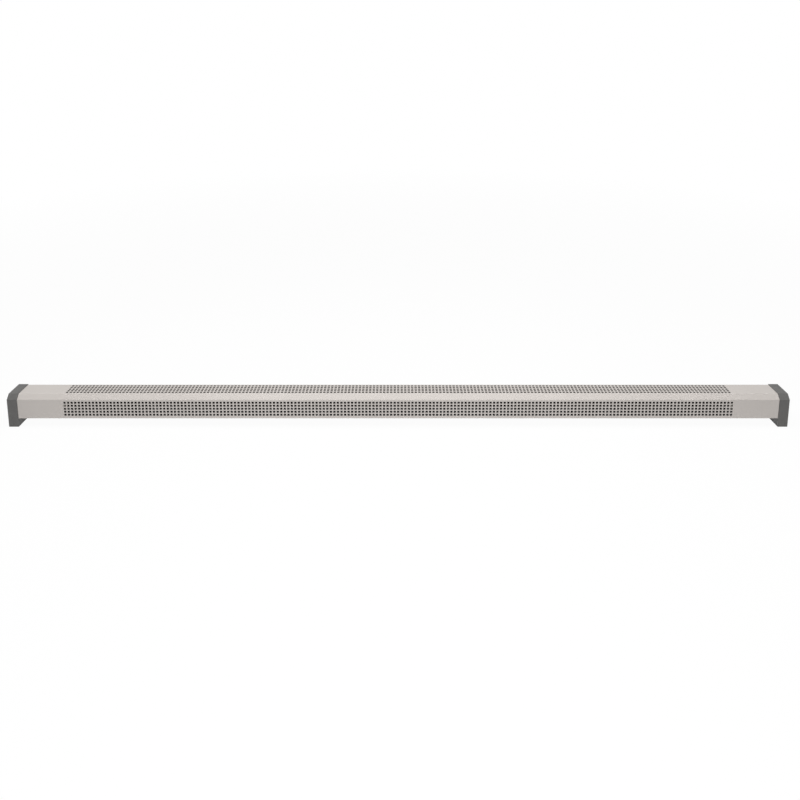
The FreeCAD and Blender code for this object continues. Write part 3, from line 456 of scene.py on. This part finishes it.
def cutScrew(headRadius, headHeight, shankRadius, shankLength, arms):
    # the head's top is at z 0, and the rest of the screw hangs below it
    s = screwShape
    mesh = bmesh.new()
    flat = s["crown"] * headRadius
    bmesh.ops.create_circle(mesh, cap_ends=True, segments=s["segments"], radius=flat)
    sinkRecess(mesh, headRadius, s["recessDepth"] * headHeight, arms)
    rim = [e for e in mesh.edges if e.is_boundary]
    across, down = s["shoulder"]
    drop = down * headHeight
    rim = drawRim(mesh, rim, across * headRadius / flat, -drop)
    rim = drawRim(mesh, rim, 1 / across, -drop)
    rim = drawRim(mesh, rim, 1, 2 * drop - headHeight)
    rim = drawRim(mesh, rim, shankRadius / headRadius, 0)
    tip = s["tipLength"] * shankRadius
    rim = drawRim(mesh, rim, 1, tip - shankLength)
    rim = drawRim(mesh, rim, s["tipTaper"], -tip)
    bmesh.ops.contextual_create(mesh, geom=rim)
    return mesh


def makeScrews():
    s = screwShape
    for name, nodeName, axis, arms in screwSets:
        mesh = bmesh.new()
        for points in solidsOf(nodeName):
            low, high = boxOf(points)
            centre = (low + high) / 2
            length = high[axis] - low[axis]
            others = [i for i in range(3) if i != axis]
            radii = [math.hypot(*(p[i] - centre[i] for i in others)) for p in points]
            headRadius, shankRadius = max(radii), min(radii)
            headEnds = [p[axis] for p, r in zip(points, radii) if r > s["nearly"] * headRadius]
            headHeight = max(headEnds) - min(headEnds)
            side = 1 if sum(headEnds) / len(headEnds) > centre[axis] else -1
            if headHeight > s["nearly"] * length:
                # a terminal's screw has no head in the CAD, and faces the front
                side = -1
                headHeight = length * s["cheeseHead"]
                shankRadius = headRadius * s["crown"]
            way = Vector((0, 0, 0))
            way[axis] = side
            place = Matrix.Translation(centre + way * length / 2) @ facing(way)
            screw = cutScrew(headRadius, headHeight, shankRadius, length - headHeight, arms)
            joinInto(mesh, screw, place)
        addPiece(name, mesh, "chassis", "zinc_fastener", nodeName)


makeScrews()
print("screws:", len(screwSets), "sets")


# Receptacle boots: nylon sleeves pushed over the cut-out's blades, round the ends of the leads
bootShape = {
    "size": (0.0074, 0.0037),  # across the blade and through it, m
    "corner": 0.0011,
    "cornerSegments": 4,
    "root": 0.0012,  # of the blade left bare
    "past": 0.0024,  # beyond the blade's end
    "sections": [
        # share of the length, share of the size
        (0.0, 0.98), (0.05, 1.06), (0.16, 1.06), (0.2, 0.96), (0.86, 0.96), (0.96, 0.88), (1.0, 0.74),
    ],
}


def mouldBoot(length):
    b = bootShape
    mesh = bmesh.new()
    bmesh.ops.create_grid(mesh, x_segments=1, y_segments=1, size=0.5)
    bmesh.ops.scale(mesh, vec=(*b["size"], 1), verts=mesh.verts)
    bmesh.ops.bevel(
        mesh, geom=mesh.verts[:], offset=b["corner"], offset_type="OFFSET",
        segments=b["cornerSegments"], profile=0.5, affect="VERTICES", material=-1,
    )
    share, size = b["sections"][0]
    bmesh.ops.scale(mesh, vec=(size, size, 1), verts=mesh.verts)
    rim = [e for e in mesh.edges if e.is_boundary]
    for nextShare, nextSize in b["sections"][1:]:
        rim = drawRim(mesh, rim, nextSize / size, (nextShare - share) * length)
        share, size = nextShare, nextSize
    bmesh.ops.contextual_create(mesh, geom=rim)
    return mesh


def makeBoots():
    mesh = bmesh.new()
    for points in solidsOf("cutout_blades"):
        low, high = boxOf(points)
        start = (low + high) / 2
        start.x = low.x + bootShape["root"]
        length = high.x + bootShape["past"] - start.x
        joinInto(mesh, mouldBoot(length), Matrix.Translation(start) @ facing((1, 0, 0)))
    addPiece("bladeBoots", mesh, "chassis", "block_moulding")


makeBoots()
print("boots on the cut-out's blades")


# Ring tags: stamped brass, a ring under each connection's nut and a barrel crimped on the lead
tagShape = {
    "segments": 32,
    "slip": 0.00005,  # round the pin and the lead, m
    "ringWidth": 0.0021,
    "ringSheet": 0.0008,
    "ringEdge": 0.0002,
    "barrelWall": 0.00045,
    "barrelLength": 0.005,
    "barrel": [
        # share of the length, share of the outer radius: crimped at its middle, belled at its mouth
        (0.0, 1.0), (0.28, 1.0), (0.38, 0.9), (0.6, 0.9), (0.7, 1.0), (0.9, 1.0), (1.0, 1.1),
    ],
}
tags = [
    # pin or stud, seat under the tag, nut over it, each with its place in its node; axis; way to the lead
    (("element_pins", 0), ("pin_insulators", 0), ("pin_nuts", 0), 0, (0, -1, 0)),
    (("element_pins", 1), ("pin_insulators", 1), ("pin_nuts", 1), 0, (0, 0, 1)),
    (("earth_stud", 0), ("earth_nuts", 0), ("earth_nuts", 1), 1, (0, 0, 1)),
]


def spinRing(profile):
    # a closed outline of radius and height, spun about Z
    mesh = bmesh.new()
    verts = [mesh.verts.new((radius, 0, height)) for radius, height in profile]
    edges = [mesh.edges.new(pair) for pair in zip(verts, verts[1:] + verts[:1])]
    bmesh.ops.spin(
        mesh, geom=verts + edges, cent=(0, 0, 0), axis=(0, 0, 1), angle=2 * math.pi,
        steps=tagShape["segments"], use_merge=True,
    )
    return mesh


def stampRing(inner, outer):
    # flat, with the rounded outer edge that a press leaves
    sheet, edge = tagShape["ringSheet"], tagShape["ringEdge"]
    return spinRing([
        (inner, 0), (outer - edge, 0), (outer, edge), (outer, sheet - edge), (outer - edge, sheet),
        (inner, sheet),
    ])


def rollBarrel(inner, outer):
    length = tagShape["barrelLength"]
    outside = [(outer * size, share * length) for share, size in tagShape["barrel"]]
    mouth = inner + outside[-1][0] - outer
    return spinRing(outside + [(mouth, length), (inner, outside[-2][1]), (inner, 0)])


def makeTags():
    t = tagShape
    low, high = boxOf(solidsOf("earth_lead")[0])
    barrelInner = (high.x - low.x) / 2 + t["slip"]
    mesh = bmesh.new()
    for pin, seat, nut, axis, way in tags:
        boxes = [boxOf(solidsOf(name)[i]) for name, i in (pin, seat, nut)]
        (low, high), (_, seatHigh), (nutLow, _) = boxes
        ringInner = (high.z - low.z) / 2 + t["slip"]  # every pin and stud lies level
        ringOuter = ringInner + t["ringWidth"]
        place = (low + high) / 2
        place[axis] = nutLow[axis] - t["ringSheet"]
        along = Vector((0, 0, 0))
        along[axis] = 1
        joinInto(mesh, stampRing(ringInner, ringOuter), Matrix.Translation(place) @ facing(along))
        place[axis] = (seatHigh[axis] + nutLow[axis]) / 2
        place += Vector(way) * ringOuter
        barrel = rollBarrel(barrelInner, barrelInner + t["barrelWall"])
        joinInto(mesh, barrel, Matrix.Translation(place) @ facing(way))
    addPiece("ringTags", mesh, "chassis", "brass")


makeTags()
print("ring tags:", len(tags))
